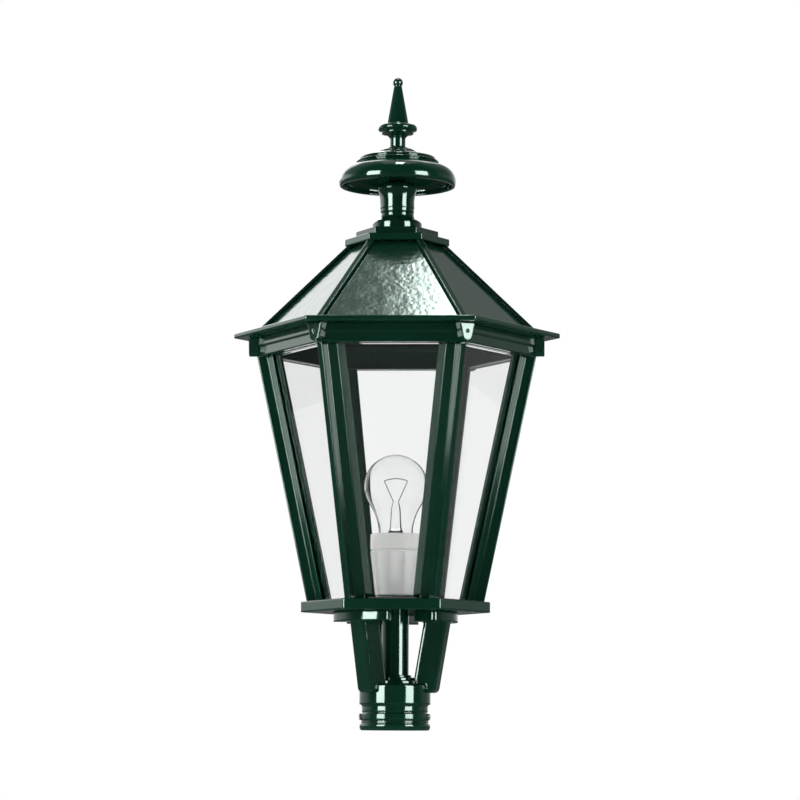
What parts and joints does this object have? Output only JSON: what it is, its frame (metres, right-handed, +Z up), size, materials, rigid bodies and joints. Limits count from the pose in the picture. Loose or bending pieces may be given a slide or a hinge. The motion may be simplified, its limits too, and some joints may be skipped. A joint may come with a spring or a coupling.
{
  "type": "post top lantern",
  "caption": "Six-sided glazed outdoor post top lantern with a lift-off hipped roof, turned dome and finial, tripod base and clamping socket collar.",
  "frame": {"origin": "centre of the socket collar's lower face", "axes": "+Z up along the lantern's axis, -Y towards the front pane, +X to the right of it"},
  "size_m": [0.308, 0.2672, 0.6184],
  "materials": {
    "green_paint": "gloss dark green enamel on cast and turned aluminium",
    "post_paint": "gloss dark green enamel on extruded aluminium",
    "roof_paint": "gloss dark green enamel with a light hammered texture",
    "pane_glass": "clear flat glass",
    "stainless": "plain stainless",
    "zinc_steel": "zinc plated",
    "rubber": "matt black",
    "porcelain": "white glazed porcelain",
    "brass": "plain brass",
    "cap_metal": "nickel plated",
    "bulb_glass": "clear thin glass",
    "tungsten": "bare wire"
  },
  "bodies": {
    "post_mount_and_cage": {"socket_collar": "green_paint", "tube_flange": "green_paint", "base_plate": "green_paint", "cage_ring": "green_paint", "cable_tube": "green_paint", "tripod_leg_1": "green_paint", "tripod_leg_2": "green_paint", "tripod_leg_3": "green_paint", "corner_post_1": "post_paint", "corner_post_2": "post_paint", "corner_post_3": "post_paint", "corner_post_4": "post_paint", "corner_post_5": "post_paint", "corner_post_6": "post_paint", "glass_pane_1": "pane_glass", "glass_pane_2": "pane_glass", "glass_pane_3": "pane_glass", "glass_pane_4": "pane_glass", "glass_pane_5": "pane_glass", "glass_pane_6": "pane_glass", "leg_screws": "stainless", "cage_screws": "stainless", "tube_locknut": "zinc_steel", "holder_bracket": "zinc_steel", "cable_grommet": "rubber", "pane_strips": "rubber", "lampholder_body": "porcelain", "lampholder_ring": "porcelain", "screw_shell": "brass", "centre_contact": "brass"},
    "roof": {"eave_flange": "green_paint", "eave_skirt": "green_paint", "corner_brackets": "green_paint", "bracket_rivets": "green_paint", "crown_tiers": "green_paint", "crown_ogee": "green_paint", "neck": "green_paint", "dome_cap": "green_paint", "tie_rod": "zinc_steel", "roof_panel_1": "roof_paint", "roof_panel_2": "roof_paint", "roof_panel_3": "roof_paint", "roof_panel_4": "roof_paint", "roof_panel_5": "roof_paint", "roof_panel_6": "roof_paint", "hip_bar_1": "green_paint", "hip_bar_2": "green_paint", "hip_bar_3": "green_paint", "hip_bar_4": "green_paint", "hip_bar_5": "green_paint", "hip_bar_6": "green_paint"},
    "finial": {"finial": "green_paint"},
    "bulb": {"bulb_glass": "bulb_glass", "bulb_cap": "cap_metal", "bulb_stem": "bulb_glass", "bulb_filament": "tungsten"},
    "set_screw_1": {"set_screw_1": "stainless"},
    "set_screw_2": {"set_screw_2": "stainless"},
    "set_screw_3": {"set_screw_3": "stainless"}
  },
  "joints": [
    {"name": "roof_lift", "type": "slide", "parent": "post_mount_and_cage", "child": "roof", "axis": [0, 0, 1], "range_m": [0, 0.2]},
    {"name": "finial_turn", "type": "hinge", "parent": "roof", "child": "finial", "pos_m": [0, 0, 0.5465], "axis": [0, 0, 1], "continuous": true},
    {"name": "bulb_turn", "type": "hinge", "parent": "post_mount_and_cage", "child": "bulb", "pos_m": [0, 0, 0.16], "axis": [0, 0, 1], "continuous": true},
    {"name": "set_screw_1_travel", "type": "slide", "parent": "post_mount_and_cage", "child": "set_screw_1", "axis": [0.9744, -0.225, 0], "range_m": [-0.0013, 0.006]},
    {"name": "set_screw_2_travel", "type": "slide", "parent": "post_mount_and_cage", "child": "set_screw_2", "axis": [-0.9744, -0.225, 0], "range_m": [-0.0013, 0.006]},
    {"name": "set_screw_3_travel", "type": "slide", "parent": "post_mount_and_cage", "child": "set_screw_3", "axis": [0, 1, 0], "range_m": [-0.0013, 0.006]}
  ]
}
